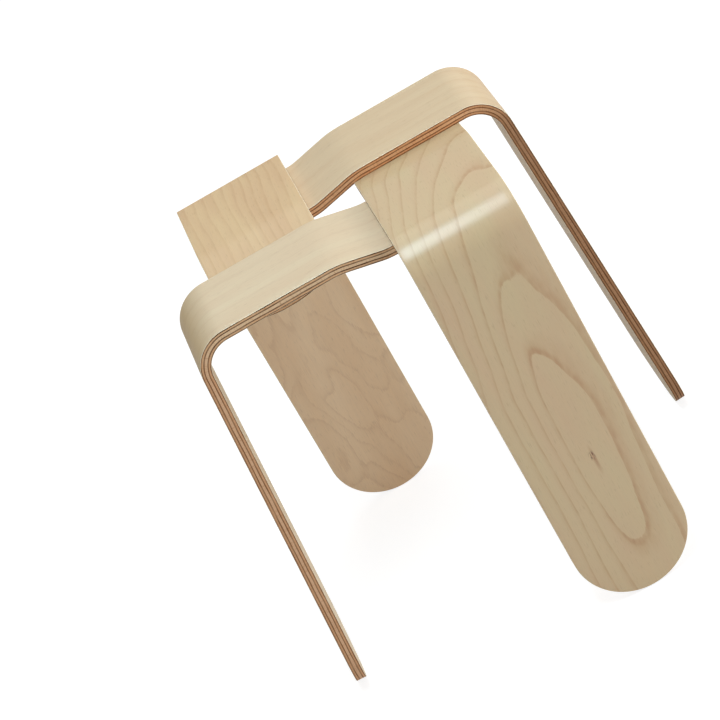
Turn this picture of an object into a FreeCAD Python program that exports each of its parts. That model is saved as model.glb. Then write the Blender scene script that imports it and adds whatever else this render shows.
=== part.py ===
"""Stacking stool made of four identical bent plywood strips.

Each strip is one leg and one side of the seat. It runs from a half-round foot up a splayed
leg, round a bend and along a flat slat. A shallow joggle then drops it by its own thickness,
and its half-round tongue lies under the next strip's slat. Four such strips, a quarter turn
apart, make a pinwheel seat with a square grip hole in the middle.

Units are millimetres. The stool stands on z = 0, +Z is up and the Z axis runs through the
middle of the grip hole. The strip that is drawn has its leg at the front, on -Y.
"""
import FreeCAD, Part
import math
import os

# Stool
seat_height = 450.0          # floor to the top of the slats
seat_span = 395.0            # between the outer faces of opposite legs, carried up to the seat
hole_side = 54.0             # square grip hole between the four slats
leg_splay = 4.0              # degrees that each leg leans outward

# Strip
strip_width = 124.0
strip_thickness = 11.5
bend_radius = 30.0           # inside of the bend between leg and slat
edge_ease = 0.6              # chamfer along every sharp edge of the strip

# Joggle and lap
joggle_angle = 12.7          # degrees that the ramp falls
joggle_brow_radius = 100.0   # top face, where the ramp leaves the slat
joggle_toe_radius = 60.0     # top face, where the ramp runs out into the tongue
joggle_margin = 0.5          # flat tongue starts this far before the slat that covers it
tongue_setback = 18.0        # tip of the tongue, in from the covering slat's outer edge

# Countersunk wood screws, two to a lap, driven from below
screw_diameter = 4.5
screw_length = 20.0
screw_head_diameter = 9.0
screw_point = 4.0            # length of the pointed end
screw_socket = 3.0           # across the flats of the hexagon socket
screw_socket_depth = 2.2
screw_pitch = 50.0           # side of the square on whose diagonal a lap's two screws stand
hole_clearance = 0.25        # round the shank, in the tongue
pilot_clearance = 0.05       # round the thread, in the slat above

QUARTERS = ("front", "right", "back", "left")
LAPS = ("back_right", "back_left", "front_left", "front_right")

hole_half = hole_side / 2
end_radius = strip_width / 2
splay = math.radians(leg_splay)
ramp = math.radians(joggle_angle)
strip_middle = hole_half + end_radius
outer_edge = hole_half + strip_width


def point(along, height, across=hole_half):
    """A point of the front strip: along its length (+Y), above the floor, and across it (+X)."""
    return FreeCAD.Vector(across, along, height)


UP = FreeCAD.Vector(0, 0, 1)
ACROSS = FreeCAD.Vector(1, 0, 0)
LEG_OUT = FreeCAD.Vector(0, -math.cos(splay), math.sin(splay))
LEG_DOWN = FreeCAD.Vector(0, -math.sin(splay), -math.cos(splay))
RAMP_UP = FreeCAD.Vector(0, math.sin(ramp), math.cos(ramp))


def rounded_path(corners, radii):
    """Edges of a polyline whose inner corners are rounded to the radii given."""
    edges = []
    start = corners[0]
    for before, corner, after, radius in zip(corners, corners[1:], corners[2:], radii):
        arriving = (corner - before).normalize()
        leaving = (after - corner).normalize()
        turn = arriving.getAngle(leaving)
        reach = radius * math.tan(turn / 2)
        arc_start = corner - arriving * reach
        arc_end = corner + leaving * reach
        towards_centre = (leaving - arriving).normalize()
        arc_middle = corner + towards_centre * radius * (1 / math.cos(turn / 2) - 1)
        edges.append(Part.LineSegment(start, arc_start).toShape())
        edges.append(Part.Arc(arc_start, arc_middle, arc_end).toShape())
        start = arc_end
    edges.append(Part.LineSegment(start, corners[-1]).toShape())
    return edges


def inner_corner(corner, normal_before, normal_after):
    """Corner of the lower face under a corner of the upper face, one thickness away."""
    mitre = (normal_before + normal_after) / (1 + normal_before.dot(normal_after))
    return corner - mitre * strip_thickness


def strip_corners():
    """Corners of the upper face from the foot to the tongue, with the normals between them.

    The path stops at the centres of the half-round ends, which are added afterwards. The leg is
    cut square across, so its inner face reaches lowest, and its eased edge touches the floor.
    """
    bend = point(-seat_span / 2, seat_height)
    foot_tip_height = (strip_thickness - edge_ease) * math.sin(splay)
    leg_length = (seat_height - foot_tip_height) / math.cos(splay)
    foot = bend + LEG_DOWN * (leg_length - end_radius)

    toe_reach = joggle_toe_radius * math.tan(ramp / 2)
    toe_along = hole_half - joggle_margin - toe_reach
    tongue_height = seat_height - strip_thickness
    toe = point(toe_along, tongue_height)
    brow = point(toe_along - strip_thickness / math.tan(ramp), seat_height)
    tongue = point(outer_edge - tongue_setback - end_radius, tongue_height)
    return [foot, bend, brow, toe, tongue], [LEG_OUT, UP, RAMP_UP, UP]


def half_disc(centre, outward, normal):
    """Half-round end of the strip: a half disc, one thickness deep, below its upper face."""
    middle = FreeCAD.Vector(strip_middle, centre.y, centre.z)
    side = ACROSS * end_radius
    arc = Part.Arc(middle - side, middle + outward * end_radius, middle + side).toShape()
    chord = Part.LineSegment(middle + side, middle - side).toShape()
    return Part.Face(Part.Wire([arc, chord])).extrude(normal * -strip_thickness)


def plain_strip():
    """One bent strip with its two half-round ends, edges still sharp and nothing drilled."""
    corners, normals = strip_corners()
    foot, tongue = corners[0], corners[-1]
    under = [foot - LEG_OUT * strip_thickness]
    under += [inner_corner(c, n, m) for c, n, m in zip(corners[1:], normals, normals[1:])]
    under.append(tongue - UP * strip_thickness)

    upper_radii = [bend_radius + strip_thickness, joggle_brow_radius, joggle_toe_radius]
    under_radii = [bend_radius, joggle_brow_radius - strip_thickness,
                   joggle_toe_radius + strip_thickness]
    outline = rounded_path(corners, upper_radii)
    outline.append(Part.LineSegment(tongue, under[-1]).toShape())
    outline += rounded_path(under, under_radii)
    outline.append(Part.LineSegment(under[0], foot).toShape())

    band = Part.Face(Part.Wire(Part.__sortEdges__(outline))).extrude(ACROSS * strip_width)
    foot_end = half_disc(foot, LEG_DOWN, LEG_OUT)
    tongue_end = half_disc(tongue, FreeCAD.Vector(0, 1, 0), UP)
    return band.fuse([foot_end, tongue_end]).removeSplitter()


def is_sharp(edge):
    """True for an edge that goes round the strip's outline, and so is eased by the maker."""
    if not isinstance(edge.Curve, (Part.Line, Part.LineSegment)):
        return True
    direction = (edge.Vertexes[-1].Point - edge.Vertexes[0].Point).normalize()
    seams = (ACROSS, LEG_OUT, UP)
    return all(abs(direction.dot(seam)) < math.cos(math.radians(1)) for seam in seams)


def ease_edges(strip):
    """Break the strip's sharp edges a little, as sanding does."""
    return strip.makeChamfer(edge_ease, [edge for edge in strip.Edges if is_sharp(edge)])


def turned(shape, quarter):
    """A copy of the shape, turned about the stool's axis by that many quarter turns."""
    copy = shape.copy()
    copy.rotate(FreeCAD.Vector(0, 0, 0), UP, 90 * quarter)
    return copy


def screw_feet():
    """Where the heads of a lap's two screws lie, on the underside of the front strip's tongue."""
    lap_middle = (hole_half + outer_edge - tongue_setback) / 2
    underside = seat_height - 2 * strip_thickness
    half = screw_pitch / 2
    return [point(lap_middle + i * half, underside, strip_middle + i * half) for i in (-1, 1)]


def turned_body(foot, outline):
    """Solid of revolution about a screw's axis, from points (radius, height above the foot)."""
    points = [foot + FreeCAD.Vector(r, 0, h) for r, h in outline]
    return Part.Face(Part.makePolygon(points + points[:1])).revolve(foot, UP, 360)


def screw(foot):
    """A countersunk wood screw, head down and flush with the tongue, with a hexagon socket."""
    head = screw_head_diameter / 2
    shank = screw_diameter / 2
    body = turned_body(foot, [(0, 0), (head, 0), (shank, head - shank),
                              (shank, screw_length - screw_point), (0, screw_length)])
    corner = screw_socket / 2 / math.cos(math.radians(30))
    hexagon = [foot + FreeCAD.Vector(math.cos(a), math.sin(a), 0) * corner
               for a in (math.radians(60 * k) for k in range(7))]
    socket = Part.Face(Part.makePolygon(hexagon)).extrude(UP * screw_socket_depth)
    return body.cut(socket)


def tongue_hole(foot):
    """Countersunk clearance hole for one screw, right through the tongue."""
    head = screw_head_diameter / 2
    bore = screw_diameter / 2 + hole_clearance
    return turned_body(foot, [(0, 0), (head, 0), (bore, head - bore),
                              (bore, strip_thickness), (0, strip_thickness)])


def pilot_hole(foot):
    """Blind pointed hole for one screw's thread, in the underside of the slat above."""
    bore = screw_diameter / 2 + pilot_clearance
    point_start = screw_length - screw_point
    return turned_body(foot, [(0, strip_thickness), (bore, strip_thickness),
                              (bore, point_start), (0, screw_length + pilot_clearance)])


def finished_strip():
    """The front strip, eased, relieved under the next strip's joggle and drilled for its screws."""
    blank = plain_strip()
    strip = ease_edges(blank).cut(turned(blank, 1))
    strip = strip.cut([tongue_hole(foot) for foot in screw_feet()])
    return strip.cut([turned(pilot_hole(foot), -1) for foot in screw_feet()])


def save(shape, name):
    shape.exportStep(f"parts/{name}.step")
    print(f"{name}: {len(shape.Solids)} solids, valid {shape.isValid()}, {shape.Volume:.0f} mm3")


os.makedirs("parts", exist_ok=True)
front_strip = finished_strip()
lap_screws = Part.makeCompound([screw(foot) for foot in screw_feet()])
for quarter, side in enumerate(QUARTERS):
    save(turned(front_strip, quarter), f"strip_{side}")
    save(turned(lap_screws, quarter), f"screws_{LAPS[quarter]}")
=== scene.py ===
"""Looks of a stacking stool: four bent birch plywood strips, interlocked and screwed from below.

Lengths are in metres in the stool's own frame. It stands on z = 0, +Z is up and the Z axis runs
through the middle of the grip hole. The strip that is shaped here is the front one, with its leg
on -Y. The other three are the same strip, each a quarter turn on.
"""
import bmesh
import bpy
import math
from mathutils import Matrix, Vector


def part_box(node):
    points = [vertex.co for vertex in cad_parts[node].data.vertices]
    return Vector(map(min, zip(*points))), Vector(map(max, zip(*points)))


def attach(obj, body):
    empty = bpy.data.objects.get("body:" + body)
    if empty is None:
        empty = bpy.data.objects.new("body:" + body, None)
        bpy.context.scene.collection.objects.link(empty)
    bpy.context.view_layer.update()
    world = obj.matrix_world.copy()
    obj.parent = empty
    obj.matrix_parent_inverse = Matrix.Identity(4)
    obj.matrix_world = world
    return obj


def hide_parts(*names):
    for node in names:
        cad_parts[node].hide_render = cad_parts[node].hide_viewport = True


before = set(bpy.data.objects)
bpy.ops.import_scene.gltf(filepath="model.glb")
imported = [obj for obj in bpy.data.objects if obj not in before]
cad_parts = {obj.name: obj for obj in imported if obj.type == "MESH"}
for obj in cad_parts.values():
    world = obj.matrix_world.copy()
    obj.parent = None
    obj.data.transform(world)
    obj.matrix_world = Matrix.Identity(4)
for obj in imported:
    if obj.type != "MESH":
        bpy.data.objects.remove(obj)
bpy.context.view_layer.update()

MM = 0.001
STRIP_LOW, STRIP_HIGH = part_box("strip_front")

# Sizes of one strip
WIDTH = STRIP_HIGH.x - STRIP_LOW.x
THICKNESS = 11.5 * MM
SEAT_SPAN = 395 * MM            # between the outer faces of opposite legs, carried up to the seat
LEG_SPLAY = math.radians(4)
BEND_RADIUS = 41.5 * MM         # outer face, between leg and slat
JOGGLE_ANGLE = math.radians(12.7)
BROW_RADIUS = 100 * MM          # upper face, where the joggle leaves the slat
TOE_RADIUS = 60 * MM            # upper face, where it runs out into the tongue
LAP_MARGIN = 0.5 * MM           # flat tongue starts this far before the slat that covers it
EDGE_ROUND = 0.6 * MM           # radius that sanding leaves on every edge
SHARP_ANGLE = math.radians(40)  # edges that turn more than this are shaded sharp

# Screw holes, two to a lap on a diagonal
SCREW_PITCH = 50 * MM
HEAD_RADIUS = 4.5 * MM
BORE_RADIUS = 2.5 * MM
PILOT_RADIUS = 2.3 * MM
SCREW_LENGTH = 20 * MM
SCREW_POINT = 4 * MM

# Places that the sizes give
END_RADIUS = WIDTH / 2
STRIP_MIDDLE = STRIP_LOW.x + END_RADIUS
HOLE_HALF = STRIP_LOW.x
SEAT_HEIGHT = STRIP_HIGH.z
TONGUE_TIP = STRIP_HIGH.y
LAP_START = HOLE_HALF - LAP_MARGIN
BEND_TURN = math.pi / 2 - LEG_SPLAY
BEND_REACH = BEND_RADIUS * math.tan(BEND_TURN / 2)      # from the bend's ends to its corner
LEG_TOP = SEAT_HEIGHT - BEND_REACH * math.cos(LEG_SPLAY)
SLAT_START_PLACE = -SEAT_SPAN / 2 + BEND_REACH

QUARTERS = ("front", "right", "back", "left")

# Camera: where the photograph was taken from, in the stool's own frame
CAMERA_AIM = Vector((-58.8, 8.4, 268.4)) * MM
CAMERA_BEARING = math.radians(-0.67)
CAMERA_HEIGHT = math.radians(26.38)
CAMERA_ROLL = math.radians(-30.1)
CAMERA_DISTANCE = 3.348
CAMERA_LENS = 160.3             # millimetres, on a 36 mm sensor
SENSOR_WIDTH = 36.0
CAMERA_SIGHT = 50               # how far it sees
FLOOR_HALF = 12                 # half the floor's side


# The strip's shape

def strip_runs():
    """Straights and bends from the foot's tip to the tongue's tip, as (length, turn), measured
    on the upper face. A positive turn goes over, from climbing the leg to lying along the seat."""
    foot_height = (THICKNESS - EDGE_ROUND) * math.sin(LEG_SPLAY)
    leg = (SEAT_HEIGHT - foot_height) / math.cos(LEG_SPLAY)
    brow_reach = BROW_RADIUS * math.tan(JOGGLE_ANGLE / 2)
    toe_reach = TOE_RADIUS * math.tan(JOGGLE_ANGLE / 2)
    brow = LAP_START - toe_reach - THICKNESS / math.tan(JOGGLE_ANGLE)
    return [
        (leg - BEND_REACH, 0),
        (BEND_RADIUS * BEND_TURN, BEND_TURN),
        (SEAT_SPAN / 2 - BEND_REACH + brow - brow_reach, 0),
        (BROW_RADIUS * JOGGLE_ANGLE, JOGGLE_ANGLE),
        (THICKNESS / math.sin(JOGGLE_ANGLE) - brow_reach - toe_reach, 0),
        (TOE_RADIUS * JOGGLE_ANGLE, -JOGGLE_ANGLE),
        (TONGUE_TIP - LAP_START, 0),
    ]


RUNS = strip_runs()
STRIP_LENGTH = sum(length for length, turn in RUNS)
TONGUE_START = STRIP_LENGTH - RUNS[-1][0]
SLAT_START = RUNS[0][0] + RUNS[1][0]


def bent(flat):
    """Where a point of the flat strip (along, across, depth) lies once the strip is bent."""
    heading = BEND_TURN
    leg_run = RUNS[0][0]
    leg_top_place = -SEAT_SPAN / 2 - (SEAT_HEIGHT - LEG_TOP) * math.tan(LEG_SPLAY)
    y = leg_top_place - leg_run * math.sin(LEG_SPLAY)
    z = LEG_TOP - leg_run * math.cos(LEG_SPLAY)
    left = flat.x
    for length, turn in RUNS:
        step = left if (length, turn) == RUNS[-1] else min(left, length)
        if turn:
            radius = length / turn
            part = step / radius
            y += radius * (math.sin(heading) - math.sin(heading - part))
            z += radius * (math.cos(heading - part) - math.cos(heading))
            heading -= part
        else:
            y += step * math.cos(heading)
            z += step * math.sin(heading)
        left -= step
        if left <= 0:
            break
    y += flat.z * math.sin(heading)
    z -= flat.z * math.cos(heading)
    return Vector((STRIP_MIDDLE + flat.y, y, z))


def stations():
    """Cuts across the flat strip, as (centre, side, angle): along the half-round foot, then the
    straights and bends, then the half-round tongue."""
    end_steps = 20
    straight_step = 18 * MM
    bend_step = math.radians(3)
    quarter = [math.pi / 2 * k / end_steps for k in range(end_steps)]
    cuts = [(END_RADIUS, -1, angle) for angle in quarter]
    start = 0.0
    for length, turn in RUNS:
        first = max(start, END_RADIUS)
        last = min(start + length, STRIP_LENGTH - END_RADIUS)
        steps = abs(turn) / bend_step if turn else (last - first) / straight_step
        count = max(1, round(steps))
        cuts += [(first + (last - first) * k / count, 0, math.pi / 2) for k in range(count)]
        start += length
    tongue_end = STRIP_LENGTH - END_RADIUS
    cuts.append((tongue_end, 0, math.pi / 2))
    cuts += [(tongue_end, 1, angle) for angle in reversed(quarter)]
    return cuts


def section():
    """Loop round the strip's section, as (side, inset, depth): side runs from -1 to 1 across the
    strip, and inset is how far the point lies inside the outline."""
    round_steps = 4
    half_columns = 8
    columns = [k / half_columns for k in range(1 - half_columns, half_columns)]
    corner = [
        (EDGE_ROUND * (1 - math.sin(a)), EDGE_ROUND * (1 - math.cos(a)))
        for a in (math.pi / 2 * k / round_steps for k in range(round_steps + 1))
    ]
    edge = corner + [(inset, THICKNESS - depth) for inset, depth in reversed(corner)]
    loop = [(side, EDGE_ROUND, 0) for side in columns]
    loop += [(1, inset, depth) for inset, depth in edge]
    loop += [(side, EDGE_ROUND, THICKNESS) for side in reversed(columns)]
    loop += [(-1, inset, depth) for inset, depth in reversed(edge)]
    return loop


def flat_strip():
    """The strip before it is drilled and bent: a flat board with two half-round ends."""
    shape = bmesh.new()
    rows = []
    for centre, side, angle in stations():
        row = []
        for across, inset, depth in section():
            reach = END_RADIUS - inset
            along = centre + side * reach * math.cos(angle)
            row.append(shape.verts.new((along, across * reach * math.sin(angle), depth)))
        rows.append(row)
    for row, following in zip(rows, rows[1:]):
        for k in range(len(row)):
            shape.faces.new((row[k - 1], row[k], following[k], following[k - 1]))
    bmesh.ops.remove_doubles(shape, verts=shape.verts, dist=0.001 * MM)
    bmesh.ops.recalc_face_normals(shape, faces=shape.faces)
    return shape


def lathe(shape, along, across, outline):
    """Adds a closed turned body to a shape, from (radius, depth) points, on an axis through the
    flat strip."""
    sides = 40
    angles = [2 * math.pi * k / sides for k in range(sides)]
    rings = [
        [shape.verts.new((along + radius * math.cos(a), across + radius * math.sin(a), depth))
         for a in angles]
        for radius, depth in outline
    ]
    for ring, following in zip(rings, rings[1:]):
        for k in range(sides):
            shape.faces.new((ring[k - 1], ring[k], following[k], following[k - 1]))
    shape.faces.new(rings[0])
    shape.faces.new(rings[-1])


def screw_drills():
    """The drill bits' shapes, as one mesh: countersunk holes through the tongue, and blind pilot
    holes in the slat, where it lies on the tongue of the strip before."""
    shape = bmesh.new()
    clear = 1 * MM              # how far a bit stands out of the wood
    tip_radius = 0.1 * MM
    lap_middle = (HOLE_HALF + TONGUE_TIP) / 2
    for side in (-1, 1):
        offset = side * SCREW_PITCH / 2
        countersink = [
            (HEAD_RADIUS + clear, THICKNESS + clear),
            (BORE_RADIUS, THICKNESS - HEAD_RADIUS + BORE_RADIUS),
            (BORE_RADIUS, -clear),
        ]
        lathe(shape, TONGUE_START + lap_middle + offset - LAP_START, offset, countersink)
        pilot_end = 2 * THICKNESS - SCREW_LENGTH
        pilot = [
            (PILOT_RADIUS, THICKNESS + clear),
            (PILOT_RADIUS, pilot_end + SCREW_POINT),
            (tip_radius, pilot_end),
        ]
        place = -STRIP_MIDDLE - offset
        lathe(shape, SLAT_START + place - SLAT_START_PLACE, lap_middle + offset - STRIP_MIDDLE, pilot)
    bmesh.ops.recalc_face_normals(shape, faces=shape.faces)
    return shape


def as_object(shape, name):
    """Puts a bmesh into the scene under that name."""
    mesh = bpy.data.meshes.new(name)
    shape.to_mesh(mesh)
    shape.free()
    piece = bpy.data.objects.new(name, mesh)
    bpy.context.scene.collection.objects.link(piece)
    return piece


def drilled(board, drills):
    """The board's mesh with the drills cut out of it."""
    cut = board.modifiers.new("screw_holes", "BOOLEAN")
    cut.operation = "DIFFERENCE"
    cut.solver = "EXACT"
    cut.object = drills
    graph = bpy.context.evaluated_depsgraph_get()
    mesh = bpy.data.meshes.new_from_object(board.evaluated_get(graph))
    bpy.data.objects.remove(board)
    bpy.data.objects.remove(drills)
    return mesh


def relief(across):
    """How much is planed off the tongue's top near the grip hole, where the underside of the
    strip above already falls into its joggle."""
    brow_start = -SLAT_START_PLACE - RUNS[2][0]
    beyond = brow_start - (STRIP_MIDDLE + across)
    radius = BROW_RADIUS - THICKNESS
    return radius - math.sqrt(radius ** 2 - beyond ** 2) if beyond > 0 else 0


def shaped_strip():
    """Mesh of the front strip: drilled flat, relieved, then bent. Each point keeps its place in
    the flat strip, in millimetres, for the wood's grain and plies."""
    mesh = drilled(as_object(flat_strip(), "board"), as_object(screw_drills(), "drills"))
    mesh.name = "strip"
    flat_places = mesh.attributes.new("flat", "FLOAT_VECTOR", "POINT")
    for vertex, flat_place in zip(mesh.vertices, flat_places.data):
        flat = vertex.co.copy()
        if flat.x > TONGUE_START + LAP_MARGIN and flat.z < THICKNESS / 2:
            flat.z += relief(flat.y)
        flat_place.vector = flat / MM
        vertex.co = bent(flat)
    mesh.flip_normals()
    mesh.shade_smooth()
    mesh.set_sharp_from_angle(angle=SHARP_ANGLE)
    return mesh


# Finishes. Lengths in the wood's patterns are in millimetres on the flat strip: x runs along it
# from the foot's tip, y across it from mid-width, and z down from its upper face.

# Growth rings
BLUNTNESS = 2.4                 # of the ovals' ends: 2 is an ellipse
DRIFT_START = 80                # beyond the heart
SWAYS = ((150, 60, 0.3), (45, 20, 0.06), (12, 0.9, 0.012))  # length, width, share of a ring
BANDS = (0.13, 0.26, 0.1)       # dark share of a ring: near side, far side, ovals' ends
SEAT_RING_FADE = (400, 520)     # rings get fainter between these, from leg to seat
RING_STAIN = "#AA7247"

# Plies, from the middle of the thickness, the same on both sides
HALF_THICKNESS = THICKNESS / MM / 2
CROSS_PLIES = (2.0, 4.9)
CROSS_PLY_HALF = 0.55
VENEER_START = CROSS_PLIES[1] + CROSS_PLY_HALF
PLY_WAVE = 0.35                 # how far a ply strays from its level
# The pale arris is partly bare sanded wood and partly a painted highlight on the rounded edge.
ARRIS_DEPTHS = (0.44, 0.34)     # below the face: where the arris highlight starts and is full
PLY_BLEND = (400, 470)          # the leg's ply colours turn into the seat's between these
LEG_SHADE_BLEND = (435, 480)     # and a face veneer's painted leg shade ends between these

# Plies' colours: long ply, core, marks, cross ply
PALE_PLIES = ("#E2B68C", "#EAC69F", "#B27E57", "#4F2914")
BOUNCE_LIT_PLIES = ("#DFA678", "#E9B487", "#B47247", "#784326")
# Painted bounce light: the right strip's plies over the seat, lighter and more orange.
TAN_PLIES = ("#D8A67D", "#E1B48E", "#B58059", "#8A593B")
# Painted shade: the right strip's plies on the leg, darker.
SHADED_PLIES = ("#A87B59", "#B18664", "#8B5F42", "#62422C")
GLUE = "#5E3B25"

# Figures of the face veneers: where the rings' heart lies (along, across), how fast the ovals
# drift sideways up the strip, a ring's length, its widths on the two sides, and how much the rings
# sway. Contrast is how plainly the rings show, and the tones are the wood between them, with
# painted light, shade and sheen on some faces, as marked at each.
CATHEDRAL = dict(heart=(172, 3), drift=0.13, ring_length=110, spacing=(13, 25), sway=0.8,
                 contrast=0.62, tones=("#CFB68E", "#D0B08B"), knot=(160, 7))
# Painted sheen: paler than the front's outer face, for the sheen on the right strip's seat.
PLAIN = dict(heart=(300, 160), drift=0.0, ring_length=900, spacing=(22, 32), sway=1.6,
             contrast=0.2, tones=("#DAC19D", "#D5B894"))
# Painted sheen over the seat, paler than the front's face; painted shade on the leg and bend.
SHEEN_CREAM = dict(PLAIN, tones=("#DEC8A7", "#DABF9E"), shaded_leg_tone="#CAAD84")
# Painted shade: the back strip's outer face is a deeper gold than the others.
SHADED_LINED = dict(heart=(250, -190), drift=0.0, ring_length=700, spacing=(10, 10), sway=1.2,
             contrast=0.38, tones=("#DABA8E", "#D3AE85"))
# Painted sheen: the left strip's inner face, paler and greyer.
SHEEN_LINED = dict(SHADED_LINED, tones=("#DFCDAF", "#D9C5A4"))
# Painted light: the back strip's inner face is painted lighter than the other faces.
LIT_SWIRLED = dict(heart=(420, -35), drift=0.0, ring_length=190, spacing=(70, 60), sway=6.0,
               contrast=0.24, tones=("#EFD2AD", "#E8C7A0"))
# Painted sheen: the right strip's inner face, paler and greyer.
SHEEN_SWIRLED = dict(LIT_SWIRLED, tones=("#DFCDB2", "#D9C5A8"))

# Each strip's two faces, its plies on the leg and over the seat, and where its patterns start
FIGURES = {
    "front": dict(outer=CATHEDRAL, inner=PLAIN, plies=(TAN_PLIES, PALE_PLIES), seed=3.1),
    "right": dict(outer=PLAIN, inner=SHEEN_SWIRLED, plies=(SHADED_PLIES, BOUNCE_LIT_PLIES), seed=17.7),
    "back": dict(outer=SHADED_LINED, inner=LIT_SWIRLED, plies=(TAN_PLIES, PALE_PLIES), seed=42.3),
    "left": dict(outer=SHEEN_CREAM, inner=SHEEN_LINED, plies=(TAN_PLIES, PALE_PLIES), seed=58.9),
}


def linear(hex_colour):
    """An sRGB hex colour as linear RGBA."""
    parts = [int(hex_colour[k:k + 2], 16) / 255 for k in (1, 3, 5)]
    return [c / 12.92 if c <= 0.04045 else ((c + 0.055) / 1.055) ** 2.4 for c in parts] + [1]


def add(tree, kind, inputs, out=0, **settings):
    """Adds a shader node with its settings, fills or links its inputs, and returns an output."""
    node = tree.nodes.new("ShaderNode" + kind)
    for name, value in settings.items():
        setattr(node, name, value)
    for key, value in inputs.items():
        if isinstance(value, bpy.types.NodeSocket):
            tree.links.new(value, node.inputs[key])
        else:
            node.inputs[key].default_value = value
    return node.outputs[out] if node.outputs else None


def new_material(name):
    """An empty material with nodes."""
    material = bpy.data.materials.new(name)
    material.use_nodes = True
    material.node_tree.nodes.clear()
    return material


def ring_field(tree, flat, figure, seed):
    """Where a point lies among the growth rings of a rotary-cut veneer: how many rings out from
    the heart, how near an oval's end (0 to 1), and 1 on the heart's far side."""
    along, across = [add(tree, "SeparateXYZ", {"Vector": flat}, out=k) for k in (0, 1)]
    heart_along, heart_across = figure["heart"]
    beyond = add(tree, "Math", {0: along, 1: heart_along}, operation="SUBTRACT")
    ahead = add(tree, "Math", {0: beyond, 1: DRIFT_START}, operation="SUBTRACT")
    ahead = add(tree, "Math", {0: ahead, 1: 0.0}, operation="MAXIMUM")
    ridge = add(tree, "Math", {0: ahead, 1: figure["drift"], 2: heart_across},
                operation="MULTIPLY_ADD")
    aside = add(tree, "Math", {0: across, 1: ridge}, operation="SUBTRACT")
    far_side = add(tree, "Math", {0: aside, 1: 0.0}, operation="GREATER_THAN")
    near, far = figure["spacing"]
    spacing = add(tree, "MapRange", {0: far_side, 3: near, 4: far})
    shares = []
    for reach, ring_width in ((beyond, figure["ring_length"]), (aside, spacing)):
        share = add(tree, "Math", {0: reach, 1: ring_width}, operation="DIVIDE")
        share = add(tree, "Math", {0: share}, operation="ABSOLUTE")
        shares.append(add(tree, "Math", {0: share, 1: BLUNTNESS}, operation="POWER"))
    total = add(tree, "Math", {0: shares[0], 1: shares[1]}, operation="ADD")
    end_share = add(tree, "Math", {0: shares[0], 1: total}, operation="DIVIDE")
    count = add(tree, "Math", {0: total, 1: 1 / BLUNTNESS}, operation="POWER")
    for length, width, swing in SWAYS:
        place = add(tree, "Mapping", {"Vector": flat, "Location": (seed, 2 * seed, 0),
                                      "Scale": (1 / length, 1 / width, 0)})
        sway = add(tree, "TexNoise", {"Vector": place, "Scale": 1.0, "Detail": 0.0})
        swing *= figure["sway"]
        shift = add(tree, "MapRange", {0: sway, 1: 0.25, 2: 0.75, 3: -swing, 4: swing})
        count = add(tree, "Math", {0: count, 1: shift}, operation="ADD")
    return count, end_share, far_side


def growth_rings(tree, flat, figure, seed):
    """How dark the growth rings' lines are, 0 to 1, in a rotary-cut veneer. The knife cuts the
    rings at a low angle, so they show as long blunt ovals round a heart. Each line starts sharp
    and fades outward, and it is widest and darkest at the ovals' ends."""
    count, end_share, far_side = ring_field(tree, flat, figure, seed)
    phase = add(tree, "Math", {0: count}, operation="FRACT")
    near_band, far_band, end_band = BANDS
    band = add(tree, "MapRange", {0: far_side, 3: near_band, 4: far_band})
    band = add(tree, "MapRange", {0: end_share, 3: band, 4: end_band})
    spread = add(tree, "Math", {0: phase, 1: band}, operation="DIVIDE")
    core = add(tree, "MapRange", {0: spread, 1: 0.3, 2: 1.2, 3: 1.0, 4: 0.4},
               interpolation_type="SMOOTHSTEP")
    tail = add(tree, "MapRange", {0: spread, 1: 1.0, 2: 3.0, 3: 1.0, 4: 0.0})
    line = add(tree, "Math", {0: core, 1: tail}, operation="MULTIPLY")
    onset = add(tree, "MapRange", {0: phase, 1: 0.97, 2: 1.0}, interpolation_type="SMOOTHSTEP")
    line = add(tree, "Math", {0: line, 1: onset}, operation="MAXIMUM")

    # Strength: by place on the oval, by luck from ring to ring, and patchy along each line. There
    # is no line inside the heart, and the lines are fainter over the seat.
    side_strength = add(tree, "MapRange", {0: far_side, 3: 0.6, 4: 0.8})
    strength = add(tree, "MapRange", {0: end_share, 3: side_strength, 4: 1.0})
    ring_number = add(tree, "Math", {0: count, 1: 0.03}, operation="ADD")
    ring_number = add(tree, "Math", {0: ring_number}, operation="FLOOR")
    outside_heart = add(tree, "Math", {0: ring_number, 1: 0.5}, operation="GREATER_THAN")
    ring_number = add(tree, "Math", {0: ring_number, 1: seed}, operation="ADD")
    luck = add(tree, "TexWhiteNoise", {"W": ring_number}, noise_dimensions="1D")
    luck = add(tree, "MapRange", {0: luck, 3: 0.65, 4: 1.0})
    place = add(tree, "Mapping", {"Vector": flat, "Location": (3 * seed, seed, 0),
                                  "Scale": (1 / 18, 1 / 6, 0)})
    patches = add(tree, "TexNoise", {"Vector": place, "Scale": 1.0, "Detail": 1.0})
    patches = add(tree, "MapRange", {0: patches, 1: 0.3, 2: 0.6, 3: 0.5, 4: 1.0})
    along = add(tree, "SeparateXYZ", {"Vector": flat}, out=0)
    fade_start, fade_end = SEAT_RING_FADE
    on_seat = add(tree, "MapRange", {0: along, 1: fade_start, 2: fade_end, 3: 1.0, 4: 0.75})
    for factor in (strength, luck, patches, outside_heart, on_seat):
        line = add(tree, "Math", {0: line, 1: factor}, operation="MULTIPLY")
    return line


def spot(tree, flat, place, length, width):
    """Soft oval mark on the flat strip, 1 in its middle and 0 outside."""
    moved = add(tree, "VectorMath", {0: flat, 1: (*place, 0)}, operation="SUBTRACT")
    scaled = add(tree, "VectorMath", {0: moved, 1: (2 / length, 2 / width, 0)},
                 operation="MULTIPLY")
    reach = add(tree, "VectorMath", {0: scaled}, out=1, operation="LENGTH")
    return add(tree, "MapRange", {0: reach, 3: 1.0, 4: 0.0}, interpolation_type="SMOOTHSTEP")


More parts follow.
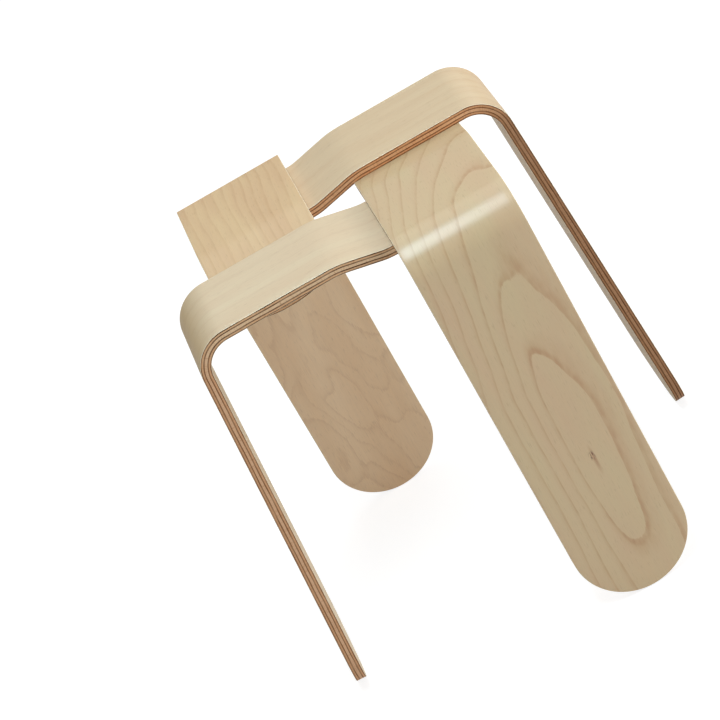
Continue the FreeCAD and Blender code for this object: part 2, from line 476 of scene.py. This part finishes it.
def pin_knot(tree, flat, fibres, figure):
    """Marks of a pin knot, as (share, colour): a tan streak along the grain beside it, and a small
    dark core of broken dashes."""
    along, across = figure["knot"]
    place = add(tree, "Mapping", {"Vector": flat, "Rotation": (0, 0, math.radians(-18)),
                                  "Scale": (1 / 6, 1 / 1.4, 0)})
    dashes = add(tree, "TexNoise", {"Vector": place, "Scale": 1.0, "Detail": 2.0})
    dashes = add(tree, "MapRange", {0: dashes, 1: 0.48, 2: 0.54})
    streak = spot(tree, flat, (along - 6, across + 1), 46, 6)
    streak = add(tree, "Math", {0: streak, 1: fibres}, operation="MULTIPLY")
    core = spot(tree, flat, (along, across), 15, 9)
    core = add(tree, "Math", {0: core, 1: dashes}, operation="MULTIPLY")
    return [(streak, "#9C5F3C"), (core, "#5E2F17")]


def face_veneer(tree, flat, fibres, figure, seed):
    """Colour of one rotary-cut face veneer: soft clouds of tone, growth rings, dark pores, and a
    pin knot where the figure has one. Where the figure has a shaded leg tone, the leg and bend are
    painted darker, as painted shade. Real pores are under 0.1 mm wide, too fine to show, so these
    are drawn 0.8 mm wide and 10 mm long, few and faint."""
    place = add(tree, "Mapping", {"Vector": flat, "Location": (0, seed, 0),
                                  "Scale": (1 / 160, 1 / 30, 1 / 40)})
    clouds = add(tree, "TexNoise", {"Vector": place, "Scale": 1.0, "Detail": 2.0})
    tone = add(tree, "MapRange", {0: clouds, 1: 0.3, 2: 0.7})
    pale, warm = figure["tones"]
    veneer = add(tree, "Mix", {0: tone, 6: linear(pale), 7: linear(warm)}, out=2,
                 data_type="RGBA")
    marks = []
    # Painted shade: the leg and bend darker than the seat.
    if "shaded_leg_tone" in figure:
        along = add(tree, "SeparateXYZ", {"Vector": flat}, out=0)
        leg_end, seat_start = LEG_SHADE_BLEND
        on_leg = add(tree, "MapRange", {0: along, 1: leg_end, 2: seat_start, 3: 1.0, 4: 0.0},
                     interpolation_type="SMOOTHSTEP")
        marks.append((on_leg, figure["shaded_leg_tone"]))
    rings = growth_rings(tree, flat, figure, seed)
    rings = add(tree, "Math", {0: rings, 1: figure["contrast"]}, operation="MULTIPLY")
    marks.append((rings, RING_STAIN))
    place = add(tree, "Mapping", {"Vector": flat, "Location": (seed, 0, 0),
                                  "Scale": (1 / 10, 1 / 0.8, 0)})
    pores = add(tree, "TexNoise", {"Vector": place, "Scale": 1.0, "Detail": 0.0})
    pores = add(tree, "MapRange", {0: pores, 1: 0.68, 2: 0.8, 4: 0.2})
    marks.append((pores, "#8A6545"))
    if "knot" in figure:
        marks += pin_knot(tree, flat, fibres, figure)
    for share, colour in marks:
        veneer = add(tree, "Mix", {0: share, 6: veneer, 7: linear(colour)}, out=2,
                     data_type="RGBA")
    return veneer


def ply_edges(tree, flat, depth, fibres, tones, seed):
    """Colour of the plies where they are cut. Long plies show their side, tan. Cross plies show
    their end grain, darker, with a thin line of glue at each face. All are counted from the
    middle of the thickness. The colours on the leg turn into those over the seat; on the right
    strip the leg's are darker, as painted shade, and the seat's lighter, as painted bounce light."""
    place = add(tree, "Mapping", {"Vector": flat, "Location": (seed, seed, 0),
                                  "Scale": (1 / 30, 1 / 30, 1 / 6)})
    wave = add(tree, "TexNoise", {"Vector": place, "Scale": 1.0, "Detail": 2.0})
    wave = add(tree, "MapRange", {0: wave, 1: 0.25, 2: 0.75, 3: -PLY_WAVE, 4: PLY_WAVE})
    middle = add(tree, "Math", {0: depth, 1: HALF_THICKNESS}, operation="SUBTRACT")
    level = add(tree, "Math", {0: middle, 1: wave}, operation="ADD")
    level = add(tree, "Math", {0: level}, operation="ABSOLUTE")
    along = add(tree, "SeparateXYZ", {"Vector": flat}, out=0)
    leg_end, seat_start = PLY_BLEND
    on_seat = add(tree, "MapRange", {0: along, 1: leg_end, 2: seat_start},
                  interpolation_type="SMOOTHSTEP")
    long_ply, core_ply, mark, cross_ply = [
        add(tree, "Mix", {0: on_seat, 6: linear(on_leg), 7: linear(over)}, out=2,
            data_type="RGBA")
        for on_leg, over in zip(*tones)
    ]
    in_core = add(tree, "Math", {0: level, 1: CROSS_PLIES[0]}, operation="LESS_THAN")
    plies = add(tree, "Mix", {0: in_core, 6: long_ply, 7: core_ply}, out=2, data_type="RGBA")

    # Marks on the sawn core and long plies: short and slanting, and long along the fibres
    place = add(tree, "Mapping", {"Vector": flat, "Rotation": (0, math.radians(35), 0),
                                  "Scale": (1 / 1.2, 1 / 1.2, 1 / 5)})
    hatch = add(tree, "TexNoise", {"Vector": place, "Scale": 1.0, "Detail": 1.0})
    hatch = add(tree, "MapRange", {0: hatch, 1: 0.5, 2: 0.75, 4: 0.45})
    plies = add(tree, "Mix", {0: hatch, 6: plies, 7: mark}, out=2, data_type="RGBA")
    streaks = add(tree, "MapRange", {0: fibres, 1: 0.45, 2: 0.8, 4: 0.35})
    plies = add(tree, "Mix", {0: streaks, 6: plies, 7: mark}, out=2, data_type="RGBA")

    # Cross plies, uneven along the strip
    place = add(tree, "Mapping", {"Vector": flat, "Location": (0, seed, seed),
                                  "Scale": (1 / 22, 1 / 22, 1 / 1.6)})
    darkness = add(tree, "TexNoise", {"Vector": place, "Scale": 1.0, "Detail": 2.0})
    darkness = add(tree, "MapRange", {0: darkness, 1: 0.3, 2: 0.65, 3: 0.5, 4: 1.0})
    for cross_level in CROSS_PLIES:
        off = add(tree, "Math", {0: level, 1: cross_level}, operation="SUBTRACT")
        off = add(tree, "Math", {0: off}, operation="ABSOLUTE")
        ply = add(tree, "MapRange", {0: off, 1: CROSS_PLY_HALF - 0.15, 2: CROSS_PLY_HALF + 0.1,
                                     3: 1.0, 4: 0.0}, interpolation_type="SMOOTHSTEP")
        ply = add(tree, "Math", {0: ply, 1: darkness}, operation="MULTIPLY")
        plies = add(tree, "Mix", {0: ply, 6: plies, 7: cross_ply}, out=2, data_type="RGBA")
        glue = add(tree, "Math", {0: off, 1: CROSS_PLY_HALF}, operation="SUBTRACT")
        glue = add(tree, "Math", {0: glue}, operation="ABSOLUTE")
        glue = add(tree, "MapRange", {0: glue, 1: 0.04, 2: 0.12, 3: 0.6, 4: 0.0})
        plies = add(tree, "Mix", {0: glue, 6: plies, 7: linear(GLUE)}, out=2, data_type="RGBA")
    return plies


def sanded_arris_highlight(tree, height):
    """1 along the rounded edges just below the faces, where sanding leaves bare pale wood, with a
    painted highlight where these edges catch the light.
    """
    start, full = ARRIS_DEPTHS
    below = add(tree, "MapRange", {0: height, 1: HALF_THICKNESS - start,
                                   2: HALF_THICKNESS - full})
    off_face = add(tree, "MapRange", {0: height, 1: HALF_THICKNESS - 0.1,
                                      2: HALF_THICKNESS - 0.01, 3: 1.0, 4: 0.0})
    return add(tree, "Math", {0: below, 1: off_face}, operation="MULTIPLY")


def satin_lacquer(tree, fibres, in_veneer):
    """How much the lacquer shines, 0 to 1. Raised fibres streak it and dull it where it is seen
    at a grazing angle, and the cut edges drink it, so only the face veneers shine."""
    grazing = add(tree, "LayerWeight", {"Blend": 0.5}, out=1)
    lacquer = add(tree, "MapRange", {0: grazing, 1: 0.3, 2: 0.75, 3: 1.0, 4: 0.12})
    streaky = add(tree, "MapRange", {0: fibres, 1: 0.3, 2: 0.7, 3: 1.0, 4: 0.8})
    for share in (in_veneer, streaky):
        lacquer = add(tree, "Math", {0: lacquer, 1: share}, operation="MULTIPLY")
    return lacquer


def birch_plywood(name, outer, inner, plies, seed):
    """Birch plywood, pressed in a curved mould, sanded and given a clear satin lacquer. That gives
    pale cream rotary-cut faces with a soft silky highlight over the bend, edges that show dark and
    light plies by turns, matt, and a pale line along each arris, bare sanded wood with a painted
    highlight. The fibres are drawn 1 mm wide, because real ones are too fine to show. The wood itself
    hardly mirrors under the lacquer, whose index is near its own, so its specular level is low and
    the coat makes the gloss."""
    material = new_material(name)
    tree = material.node_tree
    flat = add(tree, "Attribute", {}, out=1, attribute_name="flat")
    depth = add(tree, "SeparateXYZ", {"Vector": flat}, out=2)
    place = add(tree, "Mapping", {"Vector": flat, "Location": (seed, 0, seed),
                                  "Scale": (1 / 50, 1 / 1.0, 1 / 0.5)})
    fibres = add(tree, "TexNoise", {"Vector": place, "Scale": 1.0, "Detail": 2.0,
                                    "Roughness": 0.5})

    inside = add(tree, "Math", {0: depth, 1: HALF_THICKNESS}, operation="GREATER_THAN")
    veneer = add(tree, "Mix", {
        0: inside,
        6: face_veneer(tree, flat, fibres, outer, seed),
        7: face_veneer(tree, flat, fibres, inner, seed + 7),
    }, out=2, data_type="RGBA")
    cut = ply_edges(tree, flat, depth, fibres, plies, seed)
    height = add(tree, "Math", {0: depth, 1: HALF_THICKNESS}, operation="SUBTRACT")
    height = add(tree, "Math", {0: height}, operation="ABSOLUTE")
    in_veneer = add(tree, "MapRange", {0: height, 1: VENEER_START - 0.05,
                                       2: VENEER_START + 0.05})
    wood = add(tree, "Mix", {0: in_veneer, 6: cut, 7: veneer}, out=2, data_type="RGBA")
    # Pale cream arris: bare sanded wood, partly a painted highlight.
    arris = sanded_arris_highlight(tree, height)
    wood = add(tree, "Mix", {0: arris, 6: wood, 7: linear("#FAEBCC")}, out=2, data_type="RGBA")
    fine = add(tree, "MapRange", {0: fibres, 1: 0.3, 2: 0.7, 3: 0.975, 4: 1.02})
    wood = add(tree, "Mix", {0: 1.0, 6: wood, 7: fine}, out=2, data_type="RGBA",
               blend_type="MULTIPLY")

    roughness = add(tree, "MapRange", {0: fibres, 1: 0.3, 2: 0.7, 3: 0.45, 4: 0.6})
    bump = add(tree, "Bump", {"Strength": 0.12, "Distance": 0.05 * MM, "Height": fibres})
    shader = add(tree, "BsdfPrincipled", {
        "Base Color": wood,
        "Roughness": roughness,
        "IOR": 1.5,
        "Specular IOR Level": 0.02,
        "Normal": bump,
        "Coat Weight": satin_lacquer(tree, fibres, in_veneer),
        "Coat Roughness": 0.31,
        "Coat IOR": 1.55,
        "Coat Normal": bump,
    })
    add(tree, "OutputMaterial", {"Surface": shader})
    return material


def zinc_plated_steel():
    """Cold-headed steel screws, zinc plated. That gives a pale grey metal, half bright, with a
    faint mottle from the plating bath, drawn 1.5 mm across to show at all."""
    material = new_material("zinc_plated_steel")
    tree = material.node_tree
    place = add(tree, "TexCoord", {}, out=3)
    mottle = add(tree, "TexNoise", {"Vector": place, "Scale": 1 / (1.5 * MM), "Detail": 3.0})
    colour = add(tree, "Mix", {0: mottle, 6: linear("#C3C4C2"), 7: linear("#A9ABAC")}, out=2,
                 data_type="RGBA")
    roughness = add(tree, "MapRange", {0: mottle, 1: 0.3, 2: 0.7, 3: 0.28, 4: 0.42})
    shader = add(tree, "BsdfPrincipled", {"Base Color": colour, "Metallic": 1.0,
                                          "Roughness": roughness})
    add(tree, "OutputMaterial", {"Surface": shader})
    return material


# The stool

strip_mesh = shaped_strip()
for quarter, side in enumerate(QUARTERS):
    mesh = strip_mesh.copy()
    mesh.transform(Matrix.Rotation(math.pi / 2 * quarter, 4, "Z"))
    mesh.materials.append(birch_plywood("birch_plywood_" + side, **FIGURES[side]))
    strip = bpy.data.objects.new("plywood_strip_" + side, mesh)
    bpy.context.scene.collection.objects.link(strip)
    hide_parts("strip_" + side)
    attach(strip, "root")
bpy.data.meshes.remove(strip_mesh)

steel = zinc_plated_steel()
for name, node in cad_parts.items():
    if name.startswith("screws"):
        node.data.materials.clear()
        node.data.materials.append(steel)


# Floor, light and camera

def seen_or_mirrored(tree):
    """1 where the camera looks, straight or by way of something glossy or clear, and 0 elsewhere."""
    rays = [add(tree, "LightPath", {}, out=name)
            for name in ("Is Camera Ray", "Is Glossy Ray", "Is Transmission Ray")]
    seen = add(tree, "Math", {0: rays[0], 1: rays[1]}, operation="MAXIMUM")
    return add(tree, "Math", {0: seen, 1: rays[2]}, operation="MAXIMUM")


def white_floor():
    """Plain pale floor. The camera sees it white, apart from a light shadow of the stool."""
    shape = bmesh.new()
    bmesh.ops.create_grid(shape, x_segments=1, y_segments=1, size=FLOOR_HALF)
    floor = as_object(shape, "floor")
    material = new_material("matt_white_floor")
    tree = material.node_tree
    paper = add(tree, "BsdfDiffuse", {"Color": linear("#E6E6E6")})
    shaded = add(tree, "BsdfDiffuse", {"Color": linear("#969696")})
    lift = add(tree, "Emission", {"Color": (1, 1, 1, 1), "Strength": 0.85})
    seen = add(tree, "AddShader", {0: shaded, 1: lift})
    surface = add(tree, "MixShader", {0: seen_or_mirrored(tree), 1: paper, 2: seen})
    add(tree, "OutputMaterial", {"Surface": surface})
    floor.data.materials.append(material)


def white_room(fill):
    """Even white surroundings. The camera and reflections see them as plain white."""
    world = bpy.data.worlds.new("white_room")
    bpy.context.scene.world = world
    world.use_nodes = True
    tree = world.node_tree
    tree.nodes.clear()
    soft = add(tree, "Background", {"Color": (1, 1, 1, 1), "Strength": fill})
    white = add(tree, "Background", {"Color": (1, 1, 1, 1), "Strength": 1.0})
    surface = add(tree, "MixShader", {0: seen_or_mirrored(tree), 1: soft, 2: white})
    add(tree, "OutputWorld", {"Surface": surface})


def softbox(name, bearing, height, distance, size, brightness, colour=(1, 1, 1)):
    """A rectangular area light, its size given as (width, height), that faces the middle of the
    stool. Brightness is what a white sheet would show if it shone as the lamp does."""
    lamp = bpy.data.lights.new(name, "AREA")
    lamp.shape = "RECTANGLE"
    lamp.size, lamp.size_y = size
    lamp.energy = brightness * math.pi * lamp.size * lamp.size_y
    lamp.color = colour
    piece = bpy.data.objects.new(name, lamp)
    turn = Matrix.Rotation(math.radians(bearing), 4, "Z")
    turn @= Matrix.Rotation(math.radians(90 - height), 4, "X")
    middle = Vector((0, 0, SEAT_HEIGHT / 2))
    piece.matrix_world = Matrix.Translation(middle + turn @ Vector((0, 0, distance))) @ turn
    bpy.context.scene.collection.objects.link(piece)


def photo_camera():
    """The camera, at the photograph's viewing angle and tilt."""
    lens = bpy.data.cameras.new("camera")
    lens.lens = CAMERA_LENS
    lens.sensor_width = SENSOR_WIDTH
    lens.clip_end = CAMERA_SIGHT
    camera = bpy.data.objects.new("camera", lens)
    turn = Matrix.Rotation(-CAMERA_BEARING, 4, "Z")
    turn @= Matrix.Rotation(math.pi / 2 - CAMERA_HEIGHT, 4, "X")
    turn @= Matrix.Rotation(CAMERA_ROLL, 4, "Z")
    place = CAMERA_AIM + turn @ Vector((0, 0, CAMERA_DISTANCE))
    camera.matrix_world = Matrix.Translation(place) @ turn
    bpy.context.scene.collection.objects.link(camera)
    bpy.context.scene.camera = camera


# A long narrow cool lamp just above draws the highlight over the front bend. The others are large,
# far and even: a warm one over the seat, white ones at the front right, the right and behind.
white_floor()
white_room(fill=0.18)
softbox("overhead_softbox", bearing=0, height=70, distance=2.5, size=(0.32, 1.4), brightness=18.5,
        colour=(0.65, 1.0, 1.22))
softbox("warm_softbox", bearing=0, height=70, distance=7, size=(3, 3), brightness=2.25,
        colour=(1.45, 1.0, 0.6))
softbox("key_softbox", bearing=45, height=12, distance=7, size=(3, 3), brightness=3.6)
softbox("right_softbox", bearing=90, height=15, distance=7, size=(3, 3), brightness=4)
softbox("back_softbox", bearing=140, height=30, distance=7, size=(4, 4), brightness=1.9)
softbox("top_softbox", bearing=180, height=62, distance=7, size=(5, 5), brightness=1.0)
photo_camera()
bpy.context.scene.view_settings.view_transform = "Standard"
